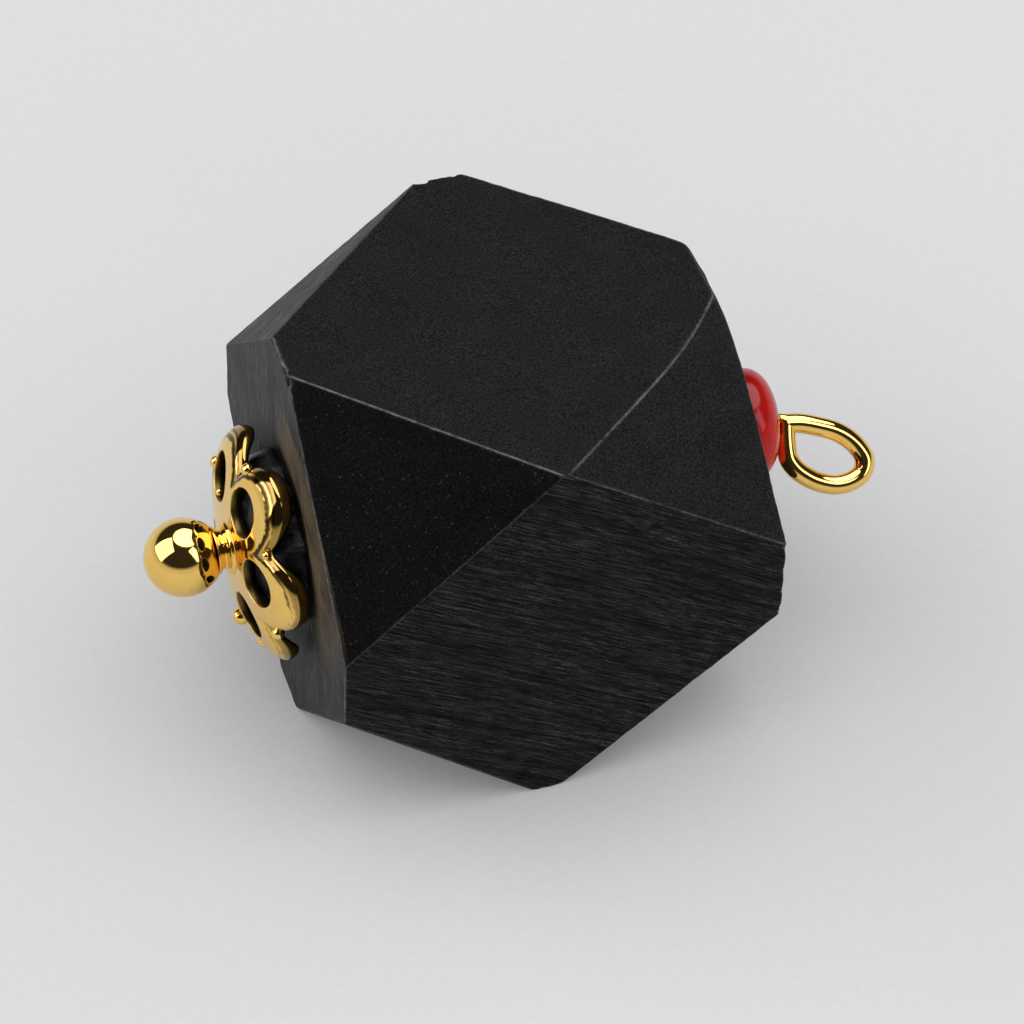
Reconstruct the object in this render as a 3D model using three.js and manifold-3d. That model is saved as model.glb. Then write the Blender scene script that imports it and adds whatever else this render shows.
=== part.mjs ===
// A jet stone, hand cut with flat facets and drilled through, strung on a ball-ended wire
// with a petalled metal cap on one side and a red bead and a bent wire loop on the other.
// Millimetres. x runs along the wire from the ball to the loop, z is up, and the grained
// front facet looks towards -y. The origin is the middle of the facet that the stone rests on.

import * as THREE from 'three';
import { ConvexGeometry } from 'three/addons/geometries/ConvexGeometry.js';
import { mergeVertices } from 'three/addons/utils/BufferGeometryUtils.js';
import Module from 'manifold-3d';

const STONE_MIDDLE = 9.35; // height of the stone's middle, and of the wire, over the rest facet

// Every facet by its heading (degrees from +x towards +y), its lean above the horizontal
// (degrees) and its distance from the stone's middle.
const FACETS = {
  left: { heading: 180, lean: 2.3, distance: 9.17 },
  right: { heading: 0.4, lean: -0.1, distance: 9.16 },
  front: { heading: -90.8, lean: -0.3, distance: 9.0 },
  back: { heading: 89, lean: 1, distance: 9.08 },
  top: { heading: 33, lean: 88.5, distance: 9.43 },
  rest: { heading: 0, lean: -90, distance: STONE_MIDDLE },
  topFrontLeft: { heading: -134.2, lean: 36.6, distance: 11.01 },
  topFrontRight: { heading: -50.7, lean: 40.4, distance: 11.52 },
  topBackLeft: { heading: 130.7, lean: 38.9, distance: 11.46 },
  topBackRight: { heading: 47.6, lean: 35.1, distance: 11.45 },
  underFrontLeft: { heading: -131.9, lean: -35.9, distance: 11.55 },
  underFrontRight: { heading: -48.6, lean: -38.8, distance: 11.05 },
  underBackLeft: { heading: 134.2, lean: -34.1, distance: 11.3 },
  underBackRight: { heading: 45, lean: -35.3, distance: 11.3 },
  shoulderBack: { heading: 1.5, lean: 23.7, distance: 11.81 }, // worn shoulder over the bead
  shoulderFront: { heading: -35.9, lean: 44.9, distance: 12.05 },
};
const STONE_BORE = 0.65; // radius of the hole drilled along the wire

// Chips knocked out of the edges: the facets that meet there, the place along the edge
// (0 at its lower or left end, 1 at the other), the chip's radius and how deep it bites.
const CHIPS = [
  { facets: ['front', 'right'], along: 0.9, radius: 0.5, bite: 0.16 },
  { facets: ['front', 'right'], along: 0.5, radius: 0.42, bite: 0.14 },
  { facets: ['front', 'right'], along: 0.15, radius: 0.4, bite: 0.12 },
  { facets: ['top', 'back'], along: 0.1, radius: 0.5, bite: 0.22 },
  { facets: ['top', 'back'], along: 0.55, radius: 0.4, bite: 0.16 },
  { facets: ['top', 'left'], along: 0.08, radius: 0.7, bite: 0.3 },
];

const WIRE_RADIUS = 0.38;
const BALL = { place: -13.46, radius: 1.64 };
const LOOP = {
  turn: 225, // degrees about the wire, from +y towards +z, of the side the loop hangs to
  corner: [12.87, 0.28],
  solder: 0.4, // radius of the drop that closes the corner
  // Round the teardrop from its corner and back: along the wire, and out from it.
  outline: [[13.42, 0.44], [14.15, 0.74], [14.83, 1.09], [15.35, 1.53], [15.72, 2.06],
    [15.89, 2.62], [15.66, 3.14], [15.12, 3.41], [14.47, 3.45], [13.9, 3.28], [13.33, 2.95],
    [12.8, 2.44], [12.53, 1.92], [12.52, 1.46], [12.65, 0.98]],
};

const CAP = {
  petals: 6,
  firstPetal: 37.8, // degrees from straight up towards the back
  ring: 3.07, // from the wire to the middle of each petal
  petalRadius: 1.85,
  petalShift: [-0.1, 0, 0, 0.2, 0, 0], // how much further out each petal is set
  holeRing: 2.9,
  holeTurn: 4.8, // degrees by which the holes sit off the petals' middles
  holeRadius: 0.98,
  bore: 0.62,
  hang: [0, -0.075], // the loose cap sits off the wire's middle, in y and z
  lean: [-0.048, 0.072], // and its axis leans, in y and z per x
};
// Half section of the cap: distance from the wire and height over the stone's left facet.
const CAP_SECTION = [
  [CAP.bore, 2.1], [1.8, 2.0], [2.6, 1.85], [3.4, 1.58], [4.1, 1.15], [4.4, 0.8], [4.5, 0.44],
  [4.8, 0.4], [5.08, 0.5], [5.12, 0.75], [5.1, 1.02], [4.6, 1.46], [4.0, 1.84], [3.0, 2.25],
  [2.0, 2.43], [1.2, 2.49], [0.86, 2.56], [0.84, 2.64], [1.02, 2.74], [0.92, 2.78],
  [CAP.bore, 2.5],
];
const GRAINS = { ring: 3.85, height: 1.72, radius: 0.26, largest: 2, largeRadius: 0.38 };

const BEAD = { middle: 10.9, halfLength: 1.45, radius: 2.43, bore: 0.74, fullness: 2.4 };
const BEAD_TILT = [-0.15, -0.03]; // the loose bead leans on its wire, in y and z per x

const COLOURS = { jet: 0x1c1d1e, gold: 0xd9a63a, coral: 0xc02020 };

// How many flat faces stand for each round form.
const ROUND = { bore: 24, ball: [28, 18], wire: 12, loopSteps: 54, cap: 54, petal: 32, hole: 20, bead: 32 };
const CUTTER_LENGTH = 24; // reaches right through whatever it cuts

const wasm = await Module();
wasm.setup();

// A closed geometry as a solid that can be joined and cut.
function solidOf(geometry) {
  const bare = geometry.clone();
  bare.deleteAttribute('normal');
  bare.deleteAttribute('uv');
  const joined = mergeVertices(bare, 1e-5);
  return new wasm.Manifold(new wasm.Mesh({
    numProp: 3,
    vertProperties: joined.attributes.position.array,
    triVerts: new Uint32Array(joined.index.array),
  }));
}

function geometryOf(solid) {
  const mesh = solid.getMesh();
  const geometry = new THREE.BufferGeometry();
  geometry.setAttribute('position', new THREE.BufferAttribute(mesh.vertProperties, 3));
  geometry.setIndex(new THREE.BufferAttribute(mesh.triVerts, 1));
  geometry.computeVertexNormals();
  return geometry;
}

// A round bar along x between two places.
function barAlongX(from, to, radius, sides) {
  const bar = new THREE.CylinderGeometry(radius, radius, to - from, sides);
  return bar.rotateZ(-Math.PI / 2).translate((from + to) / 2, 0, 0);
}

// A tall round post along z, to cut or keep a round outline.
function post(radius, sides, x, y) {
  const cylinder = new THREE.CylinderGeometry(radius, radius, CUTTER_LENGTH, sides);
  return cylinder.rotateX(Math.PI / 2).translate(x, y, 0);
}

// A turned form: a half section of [radius, height] points about z.
function turned(section, segments) {
  const points = section.map(([radius, height]) => new THREE.Vector2(radius, height));
  return new THREE.LatheGeometry(points, segments).rotateX(Math.PI / 2);
}

function finish(name, geometry, colour, roughness, metalness) {
  const material = new THREE.MeshStandardMaterial({ color: colour, roughness, metalness });
  const mesh = new THREE.Mesh(geometry, material);
  mesh.name = name;
  return mesh;
}

function facetNormal({ heading, lean }) {
  const turn = THREE.MathUtils.degToRad(heading);
  const rise = THREE.MathUtils.degToRad(lean);
  return new THREE.Vector3(
    Math.cos(rise) * Math.cos(turn), Math.cos(rise) * Math.sin(turn), Math.sin(rise));
}

const facetPlanes = Object.fromEntries(Object.entries(FACETS).map(([name, facet]) => (
  [name, new THREE.Plane(facetNormal(facet), -facet.distance)])));

// The point where three facets meet, or null where two of them are parallel.
function meeting(a, b, c) {
  const across = new THREE.Vector3().crossVectors(b.normal, c.normal);
  const spread = a.normal.dot(across);
  if (Math.abs(spread) < 1e-4) return null;
  return across.multiplyScalar(-a.constant)
    .addScaledVector(new THREE.Vector3().crossVectors(c.normal, a.normal), -b.constant)
    .addScaledVector(new THREE.Vector3().crossVectors(a.normal, b.normal), -c.constant)
    .divideScalar(spread);
}

// The corners of the cut stone: every meeting of three facets that no other facet cuts off.
function stoneCorners() {
  const planes = Object.values(facetPlanes);
  const corners = [];
  for (let i = 0; i < planes.length; i += 1) {
    for (let j = i + 1; j < planes.length; j += 1) {
      for (let k = j + 1; k < planes.length; k += 1) {
        const point = meeting(planes[i], planes[j], planes[k]);
        const kept = point && planes.every((plane) => plane.distanceToPoint(point) < 1e-5);
        if (kept && corners.every((corner) => corner.distanceTo(point) > 1e-4)) corners.push(point);
      }
    }
  }
  return corners;
}

// One chip: a rough lump set on an edge so that it bites in by the stated depth.
function chipCutter(corners, { facets, along, radius, bite }, order) {
  const [first, second] = facets.map((name) => facetPlanes[name]);
  const ends = corners
    .filter((corner) => Math.abs(first.distanceToPoint(corner)) < 1e-3)
    .filter((corner) => Math.abs(second.distanceToPoint(corner)) < 1e-3)
    .sort((p, q) => (p.x + p.z) - (q.x + q.z));
  const outward = new THREE.Vector3().addVectors(first.normal, second.normal).normalize();
  const place = ends[0].clone().lerp(ends[ends.length - 1], along);
  place.addScaledVector(outward, radius - bite);
  const lump = new THREE.IcosahedronGeometry(radius, 0).rotateX(order * 1.3).rotateY(order * 0.7);
  return solidOf(lump.translate(place.x, place.y, place.z));
}

function makeStone() {
  const corners = stoneCorners();
  let stone = solidOf(new ConvexGeometry(corners));
  stone = stone.subtract(solidOf(barAlongX(-CUTTER_LENGTH / 2, CUTTER_LENGTH / 2, STONE_BORE, ROUND.bore)));
  CHIPS.forEach((chip, order) => {
    stone = stone.subtract(chipCutter(corners, chip, order));
  });
  return finish('stone', geometryOf(stone), COLOURS.jet, 0.6, 0);
}

// The cap is built upright on z, then stood on the stone's left facet where the wire comes out.
function makeCap() {
  let outline = solidOf(post(CAP.ring, ROUND.cap, 0, 0));
  let holes = null;
  let grains = null;
  for (let k = 0; k < CAP.petals; k += 1) {
    const petal = THREE.MathUtils.degToRad(CAP.firstPetal + (360 / CAP.petals) * k);
    const notch = petal + Math.PI / CAP.petals;
    const hole = petal + THREE.MathUtils.degToRad(CAP.holeTurn);
    const reach = CAP.ring + CAP.petalShift[k];
    outline = outline.add(solidOf(post(
      CAP.petalRadius, ROUND.petal, reach * Math.cos(petal), reach * Math.sin(petal))));
    const opening = solidOf(post(
      CAP.holeRadius, ROUND.hole, CAP.holeRing * Math.cos(hole), CAP.holeRing * Math.sin(hole)));
    holes = holes ? holes.add(opening) : opening;
    const size = k === GRAINS.largest ? GRAINS.largeRadius : GRAINS.radius;
    const grain = solidOf(new THREE.IcosahedronGeometry(size, 1).translate(
      GRAINS.ring * Math.cos(notch), GRAINS.ring * Math.sin(notch), GRAINS.height));
    grains = grains ? grains.add(grain) : grain;
  }
  const closedSection = [...CAP_SECTION, CAP_SECTION[0]];
  const dome = solidOf(turned(closedSection, ROUND.cap));
  const cap = dome.intersect(outline).subtract(holes).add(grains);

  const mesh = finish('bead_cap', geometryOf(cap), COLOURS.gold, 0.25, 1);
  const outward = new THREE.Vector3(-1, ...CAP.lean).normalize();
  const upward = new THREE.Vector3(0, 0, 1).projectOnPlane(outward).normalize();
  const backward = new THREE.Vector3().crossVectors(outward, upward);
  mesh.quaternion.setFromRotationMatrix(new THREE.Matrix4().makeBasis(upward, backward, outward));
  mesh.position.set(-facetPlanes.left.constant / facetPlanes.left.normal.x, ...CAP.hang);
  return mesh;
}

// A round wire along a curve.
function wireAlong(path, steps) {
  const section = new THREE.Shape().absarc(0, 0, WIRE_RADIUS, 0, Math.PI * 2);
  return new THREE.ExtrudeGeometry(section, { steps, curveSegments: ROUND.wire / 2, extrudePath: path });
}

function makePin() {
  const turn = THREE.MathUtils.degToRad(LOOP.turn);
  const place = ([along, out]) => new THREE.Vector3(
    along, out * Math.cos(turn), out * Math.sin(turn));
  const corner = place(LOOP.corner);
  const path = new THREE.CatmullRomCurve3([corner, ...LOOP.outline.map(place), corner]);
  const ball = new THREE.SphereGeometry(BALL.radius, ...ROUND.ball).rotateZ(Math.PI / 2);
  const joint = new THREE.SphereGeometry(LOOP.solder, ROUND.wire, ROUND.wire / 2);
  const pin = solidOf(ball.translate(BALL.place, 0, 0))
    .add(solidOf(barAlongX(BALL.place, LOOP.corner[0], WIRE_RADIUS, ROUND.wire)))
    .add(solidOf(joint.translate(corner.x, corner.y, corner.z)))
    .add(solidOf(wireAlong(path, ROUND.loopSteps)));
  return finish('ball_pin', geometryOf(pin), COLOURS.gold, 0.12, 1);
}

// The bead is a fat rondelle: a superellipse turned about its own bore.
function makeBead() {
  const steps = 18;
  const limit = Math.acos((BEAD.bore / BEAD.radius) ** (BEAD.fullness / 2));
  const section = [];
  for (let i = 0; i <= steps; i += 1) {
    const angle = -limit + (2 * limit * i) / steps;
    const radius = BEAD.radius * Math.cos(angle) ** (2 / BEAD.fullness);
    const height = Math.sign(angle) * Math.abs(Math.sin(angle)) ** (2 / BEAD.fullness);
    section.push([radius, BEAD.halfLength * height]);
  }
  section.push(section[0]);
  const mesh = finish('red_bead', turned(section, ROUND.bead), COLOURS.coral, 0.2, 0);
  const axis = new THREE.Vector3(1, ...BEAD_TILT).normalize();
  mesh.quaternion.setFromUnitVectors(new THREE.Vector3(0, 0, 1), axis);
  mesh.position.set(BEAD.middle, 0, 0);
  return mesh;
}

const charm = new THREE.Group();
charm.add(makeStone(), makeCap(), makePin(), makeBead());
charm.position.z = STONE_MIDDLE;

export default charm;
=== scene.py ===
# A cut jet stone strung on a ball-ended gold wire, with a petalled gold cap on one side and a
# coral bead and a bent loop on the other, lying on one of its flat facets.
# All shapes are worked out in millimetres, in the frame's axes, and set down in metres.

import math

import bpy
import numpy as np
from mathutils import Matrix, Vector


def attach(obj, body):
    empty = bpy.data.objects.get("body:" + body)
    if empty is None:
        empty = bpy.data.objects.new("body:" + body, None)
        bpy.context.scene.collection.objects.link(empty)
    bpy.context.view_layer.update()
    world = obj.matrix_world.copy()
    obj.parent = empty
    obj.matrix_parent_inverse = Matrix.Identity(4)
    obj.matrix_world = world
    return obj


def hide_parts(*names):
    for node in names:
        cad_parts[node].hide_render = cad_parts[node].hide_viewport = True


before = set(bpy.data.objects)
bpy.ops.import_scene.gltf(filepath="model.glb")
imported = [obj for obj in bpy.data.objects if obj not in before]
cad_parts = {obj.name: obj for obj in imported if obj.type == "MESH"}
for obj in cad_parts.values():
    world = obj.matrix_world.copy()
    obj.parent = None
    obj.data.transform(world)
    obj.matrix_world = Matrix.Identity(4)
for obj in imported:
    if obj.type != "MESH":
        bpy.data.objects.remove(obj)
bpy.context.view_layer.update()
METRES = 0.001

STONE_MIDDLE = np.array([0.0, 0.0, 9.35])

# Every facet by its heading (degrees from +x towards +y), its lean above the horizontal
# (degrees) and its distance from the stone's middle.
FACETS = {
    "left": (180, 2.3, 9.17),
    "right": (0.4, -0.1, 9.16),
    "front": (-90.8, -0.3, 9.0),
    "back": (89, 1, 9.08),
    "top": (33, 88.5, 9.43),
    "rest": (0, -90, 9.35),
    "top_front_left": (-134.2, 36.6, 11.01),
    "top_front_right": (-50.7, 40.4, 11.52),
    "top_back_left": (130.7, 38.9, 11.46),
    "top_back_right": (47.6, 35.1, 11.45),
    "under_front_left": (-131.9, -35.9, 11.55),
    "under_front_right": (-48.6, -38.8, 11.05),
    "under_back_left": (134.2, -34.1, 11.3),
    "under_back_right": (45, -35.3, 11.3),
    "shoulder_back": (1.5, 23.7, 11.81),
    "shoulder_front": (-35.9, 44.9, 12.05),
}
FACET_NAMES = list(FACETS)
STONE_BORE = 0.65

# The rounding of a sharp edge, how much it swells where the edge is rubbed, how much wider
# the two worn shoulders over the bead are rounded, and how far from them that fades.
EDGE_ROUNDING = 0.028
EDGE_SWELL = 0.03
SHOULDER_ROUNDING = 0.2
SHOULDER_REACH = 0.4
SURFACE_WAVE = 0.012
ROWS_FROM_EDGE = [0, 0.03, 0.06, 0.1, 0.15, 0.21, 0.29, 0.4, 0.56, 0.8, 1.15, 1.7, 2.6]
FINE_SPACING = 0.085
COARSE_SPACING = 0.3
FACETS_SEEN_CLOSE = {"left", "front", "top", "top_front_left", "top_front_right", "top_back_left"}

# How each facet was left by the saw and the rubbing: the way its grain runs, how strongly the grain
# and the grit show, its roughness, and its tone, which is partly its own and partly painted light and
# shade, set darker or lighter facet by facet.
FACETS_BY_THE_BEAD = ((1, 0.6, -0.4), 0.05, 0.9, 0.58, (0.012, 0.012, 0.0121))
FACET_LOOKS = {
    "left": ((0, 0.05, 1), 0.7, 0.7, 0.45, (0.0195, 0.0192, 0.0187)),
    "front": ((1, 0, -0.66), 1.0, 0.7, 0.55, (0.0108, 0.0113, 0.0114)),
    "top": ((1, 0.2, 0), 0.03, 0.9, 0.64, (0.0105, 0.011, 0.0118)),
    "top_front_left": ((0.5, -0.5, 0.9), 0.03, 0.9, 0.34, (0.0031, 0.0031, 0.0032)),
    "top_front_right": FACETS_BY_THE_BEAD,
    "shoulder_front": FACETS_BY_THE_BEAD,
    "shoulder_back": FACETS_BY_THE_BEAD,
    "top_back_left": ((0.76, 0.65, 0), 0.7, 0.6, 0.5, (0.034, 0.0345, 0.0345)),
    "right": ((0, 0.2, 1), 0.7, 0.6, 0.5, (0.02, 0.019, 0.018)),
    "back": ((1, 0, 0.4), 0.9, 0.5, 0.55, (0.013, 0.0134, 0.0134)),
    "rest": ((0.9, 0.4, 0), 0.5, 0.7, 0.6, (0.012, 0.012, 0.012)),
}
OTHER_FACETS = ((0.8, -0.4, 0.3), 0.2, 0.8, 0.56, (0.012, 0.012, 0.0123))
# How much wider the grain of a facet is than the front facet's, where it is coarser.
COARSER_GRAIN = {"left": 2.8, "top_back_left": 5.0}

# Edges made pale, partly by rubbing and partly with a painted highlight along the rounded edge: the
# two facets, how pale, and how wide (mm). The front shoulder counts as a part of the facet below it.
RUBBED_AND_HIGHLIT_EDGES = [
    ("top", "top_front_left", 0.75, 0.03),
    ("top", "top_front_right", 0.6, 0.035),
    ("top", "top_back_right", 0.8, 0.04),
    ("top", "back", 0.95, 0.045),
    ("top", "shoulder_back", 0.4, 0.04),
    ("front", "top_front_right", 0.35, 0.03),
    ("front", "top_front_left", 0.14, 0.03),
    ("front", "right", 0.4, 0.04),
    ("front", "left", 0.5, 0.045),
    ("left", "top_front_left", 0.35, 0.04),
    ("left", "top", 0.6, 0.09),
    ("top", "top_back_left", 0.3, 0.04),
    ("right", "top_front_right", 0.4, 0.04),
    ("front", "under_front_right", 0.25, 0.04),
    ("front", "under_front_left", 0.3, 0.04),
    ("top_front_right", "shoulder_back", 0, 0.04),
    ("top_back_right", "shoulder_back", 0, 0.04),
    ("right", "shoulder_back", 0.1, 0.04),
]
RUBBED_AND_HIGHLIT_ELSEWHERE = (0.25, 0.04)
NEVER_NEAREST = -9

# Chips: the two facets whose edge they break, the place along it, the radius and the bite.
CHIPS = [
    ("front", "right", 0.93, 0.55, 0.13),
    ("front", "right", 0.62, 0.42, 0.14),
    ("front", "right", 0.33, 0.36, 0.09),
    ("front", "right", 0.05, 0.5, 0.14),
    ("top", "back", 0.12, 0.7, 0.12),
    ("top", "back", 0.5, 0.4, 0.07),
    ("top", "back", 0.85, 0.5, 0.06),
    ("top", "left", 0.1, 0.4, 0.14),
    ("top", "left", 0.45, 0.34, 0.12),
    ("top", "left", 0.85, 0.5, 0.2),
    ("left", "top_front_left", 0.98, 0.5, 0.16),
    ("left", "top_front_left", 0.93, 0.3, 0.08),
    ("top", "top_front_left", 0.4, 0.26, 0.07),
    ("top", "top_front_left", 0.53, 0.2, 0.05),
    ("left", "front", 0.1, 0.3, 0.06),
]

BALL_PLACE = -13.46
BALL_RADIUS = 1.64
WIRE_RADIUS = 0.38
LOOP_THICKER = 0.05
BEND_LENGTH = 0.6
LOOP_TURN = 225
LOOP_CORNER = (12.7, 0.29)
LOOP_OUTLINE = [
    (13.42, 0.44), (14.15, 0.74), (14.83, 1.09), (15.35, 1.53), (15.72, 2.06), (15.89, 2.62),
    (15.66, 3.14), (15.12, 3.41), (14.47, 3.45), (13.9, 3.28), (13.33, 2.95), (12.8, 2.44),
    (12.53, 1.92), (12.51, 1.46), (12.58, 0.92),
]

PETALS = 6
FIRST_PETAL = 37.8
PETAL_RING = 3.07
PETAL_RADIUS = 1.85
PETAL_SHIFT = (-0.1, 0, 0, 0.2, 0, 0)
HOLE_RING = 2.9
HOLE_TURN = math.radians(4.8)
PETAL_HOLE = 0.98
CAP_BORE = 0.62
CAP_HANG = np.array([0, 0, -0.075])
CAP_LEAN = (-0.048, 0.072)
NOTCH_SOFTNESS = 0.1
RIM_BEVEL = (0.36, 0.5)  # width of the bevel round the rim, and its added slope
RIM_EDGE = 0.2
RIM_UNDER = 0.35
RIM_THICKNESS = 0.12
BEVEL_SOFTNESS = 0.04
HOLE_ROUNDING = 0.09
# Points along a petal's outline, from a notch to the bore, on the bore's arc, and from the
# hole to the boundary.
OUTLINE_STEPS = 110
NOTCH_STEPS = 26
BORE_STEPS = 14
RAY_STEPS = 34
# Height of the cap's upper and lower skins over the left facet, by distance from the wire.
CAP_TOP = [
    (0, 2.53), (1.2, 2.47), (2.0, 2.39), (3.0, 2.21), (4.0, 1.86), (4.6, 1.53), (5.2, 1.16)]
CAP_UNDER = [
    (0, 2.12), (1.8, 2.0), (2.6, 1.85), (3.4, 1.56), (4.1, 1.12), (4.45, 0.66), (4.7, 0.42),
    (5.2, 0.36)]

# The adhesive's border by its distance from the wire, and where it is squeezed out: (petal
# count from the first, how far).
ADHESIVE_BORDER = 3.6
SQUEEZED_OUT = [(4.5, 0.5), (5.5, 0.1)]

BEAD_MIDDLE = 10.9
BEAD_HALF_LENGTH = 1.45
BEAD_RADIUS = 2.43
BEAD_BORE = 0.64
BEAD_FULLNESS = 2.4
BEAD_TILT = (-0.15, -0.03)


def unit(vector):
    return np.asarray(vector, float) / np.linalg.norm(vector)


def smooth_lattice(points, cell, seed):
    """Smooth noise from -1 to 1: random values on the corners of a cubic lattice of the given
    cell, blended by the smoothstep of the place inside the cell along each axis."""
    table = np.random.default_rng(seed).uniform(-1, 1, (32, 32, 32))
    place = points / cell
    base = np.floor(place).astype(int)
    share = place - base
    share = share * share * (3 - 2 * share)
    total = np.zeros(len(points))
    for corner in np.ndindex(2, 2, 2):
        weight = np.prod(np.where(corner, share, 1 - share), axis=1)
        x, y, z = ((base + corner) % 32).T
        total += weight * table[x, y, z]
    return total


def shared_places(points):
    """The first point at each place, to a ten-thousandth of a millimetre, and the number of
    every point's place."""
    keys = np.round(points * 1e4).astype(np.int64)
    _, first, back = np.unique(keys, axis=0, return_index=True, return_inverse=True)
    return first, back.ravel()


def welded(points, faces):
    """One point for each place. A face that loses corners by it becomes a triangle or is
    dropped."""
    first, back = shared_places(points)
    kept = []
    for face in back[faces].tolist():
        ring = [v for i, v in enumerate(face) if v != face[i - 1]]
        if len(ring) > 2 and len(set(ring)) == len(ring):
            kept.append(ring)
    return points[first], kept


def grid_faces(rows, columns, closed, start=0, flip=False):
    """The quads between neighbouring rows and columns of a grid of points, as an array."""
    index = np.arange(rows * columns).reshape(rows, columns) + start
    if closed:
        index = np.hstack([index, index[:, :1]])
    quads = np.stack([index[:-1, :-1], index[:-1, 1:], index[1:, 1:], index[1:, :-1]], -1)
    quads = quads.reshape(-1, 4)
    return quads[:, ::-1] if flip else quads


def new_piece(name, points, faces, material, stands_for=None):
    """Puts points (mm, from the stone's middle) and faces into a smooth mesh in metres that
    rides on the one body."""
    mesh = bpy.data.meshes.new(name)
    mesh.from_pydata(((points + STONE_MIDDLE) * METRES).tolist(), [], faces)
    mesh.update()
    mesh.polygons.foreach_set("use_smooth", np.full(len(mesh.polygons), True))
    piece = bpy.data.objects.new(name, mesh)
    bpy.context.scene.collection.objects.link(piece)
    mesh.materials.append(material)
    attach(piece, "root")
    if stands_for:
        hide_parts(stands_for)
    return piece


def write_attribute(piece, label, domain, values):
    """Gives every face or point a number, or three where the values have three columns."""
    kind, field = ("FLOAT", "value") if values.ndim == 1 else ("FLOAT_VECTOR", "vector")
    made = piece.data.attributes.new(label, kind, domain)
    made.data.foreach_set(field, values.ravel())


def facet_normal(name):
    heading, lean, _ = FACETS[name]
    turn, rise = math.radians(heading), math.radians(lean)
    return np.array([
        math.cos(rise) * math.cos(turn), math.cos(rise) * math.sin(turn), math.sin(rise)])


NORMALS = np.array([facet_normal(name) for name in FACET_NAMES])
DISTANCES = np.array([FACETS[name][2] for name in FACET_NAMES])


def stone_corners():
    """Every meeting of three facet planes that no other facet cuts off, with the set of the
    facets that pass through it."""
    corners = []
    count = len(FACET_NAMES)
    for i in range(count):
        for j in range(i + 1, count):
            for k in range(j + 1, count):
                rows = NORMALS[[i, j, k]]
                if abs(np.linalg.det(rows)) < 1e-4:
                    continue
                point = np.linalg.solve(rows, DISTANCES[[i, j, k]])
                if (NORMALS @ point - DISTANCES).max() > 1e-6:
                    continue
                touching = set(np.flatnonzero(abs(NORMALS @ point - DISTANCES) < 1e-6))
                if all(np.linalg.norm(point - other) > 1e-5 for other, _ in corners):
                    corners.append((point, touching))
    return corners


CORNERS = stone_corners()
SHOULDERS = [FACET_NAMES.index("shoulder_back"), FACET_NAMES.index("shoulder_front")]


def facet_ring(facet):
    """The numbers of a facet's corners, in order round its outward normal."""
    own = [n for n, (_, touching) in enumerate(CORNERS) if facet in touching]
    middle = np.mean([CORNERS[n][0] for n in own], axis=0)
    across = unit(CORNERS[own[0]][0] - middle)
    up = np.cross(NORMALS[facet], across)
    reach = {n: CORNERS[n][0] - middle for n in own}
    turn = {n: math.atan2(reach[n] @ up, reach[n] @ across) for n in own}
    return sorted(own, key=turn.get)


RINGS = [facet_ring(n) for n in range(len(FACET_NAMES))]


def edge_steps():
    """How many steps each edge is drawn in: fine where either facet is seen close. The rings
    of the left and right facets get the same number of steps, because the bore joins them."""
    steps = {}
    for facet, ring in enumerate(RINGS):
        close = FACET_NAMES[facet] in FACETS_SEEN_CLOSE
        for a, b in zip(ring, ring[1:] + ring[:1]):
            length = np.linalg.norm(CORNERS[a][0] - CORNERS[b][0])
            wanted = max(4, math.ceil(length / (FINE_SPACING if close else COARSE_SPACING)))
            key = frozenset((a, b))
            steps[key] = max(steps.get(key, 0), wanted)

    def total(name):
        ring = RINGS[FACET_NAMES.index(name)]
        return sum(steps[frozenset(pair)] for pair in zip(ring, ring[1:] + ring[:1]))

    short = total("left") - total("right")
    shy = "right" if short > 0 else "left"
    other = {"right": "under_back_right", "left": "under_back_left"}[shy]
    ring = RINGS[FACET_NAMES.index(shy)]
    neighbour = set(RINGS[FACET_NAMES.index(other)])
    shared = [frozenset(p) for p in zip(ring, ring[1:] + ring[:1]) if set(p) <= neighbour]
    steps[shared[0]] += abs(short)
    return steps


EDGE_STEPS = edge_steps()


def chip_balls():
    """Centre, radius of each chip: a ball set outside its edge so that it bites in."""
    balls = []
    for first, second, along, radius, bite in CHIPS:
        a, b = FACET_NAMES.index(first), FACET_NAMES.index(second)
        ends = sorted(
            (p for p, touching in CORNERS if {a, b} <= touching), key=lambda p: p[0] + p[2])
        place = ends[0] + (ends[-1] - ends[0]) * along
        balls.append((place + unit(NORMALS[a] + NORMALS[b]) * (radius - bite), radius))
    return balls


CHIP_BALLS = chip_balls()


def stone_field(points):
    """How far points stand outside the worn stone: a soft maximum of the distances to the
    facet planes, whose softness is the edges' rounding, wider by the shoulders, raised in the
    chips, plus a wave."""
    beyond = points @ NORMALS.T - DISTANCES
    rubbed = smooth_lattice(points, 0.9, 3) + 0.6 * smooth_lattice(points, 0.3, 4)
    highest = beyond.max(axis=1)
    nearness = np.exp((beyond - highest[:, None]) / SHOULDER_REACH)
    shoulder = nearness[:, SHOULDERS].sum(axis=1) / nearness.sum(axis=1)
    softness = (EDGE_ROUNDING + EDGE_SWELL * np.clip(rubbed, 0, 1)
                + SHOULDER_ROUNDING * shoulder)
    spread = np.exp((beyond - highest[:, None]) / softness[:, None]).sum(axis=1)
    field = highest + softness * np.log(spread)
    near_edge = np.clip((spread - 1.02) * 3, 0, 1)
    field += SURFACE_WAVE * near_edge * smooth_lattice(points, 0.22, 5)
    for centre, radius in CHIP_BALLS:
        away = np.linalg.norm(points - centre, axis=1)
        close = away < radius * 1.6
        rough = 0.16 * radius * smooth_lattice(points[close], 0.24, 6)
        inside = radius - away[close] + rough
        field[close] = np.maximum(field[close], inside)
    return field


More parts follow.
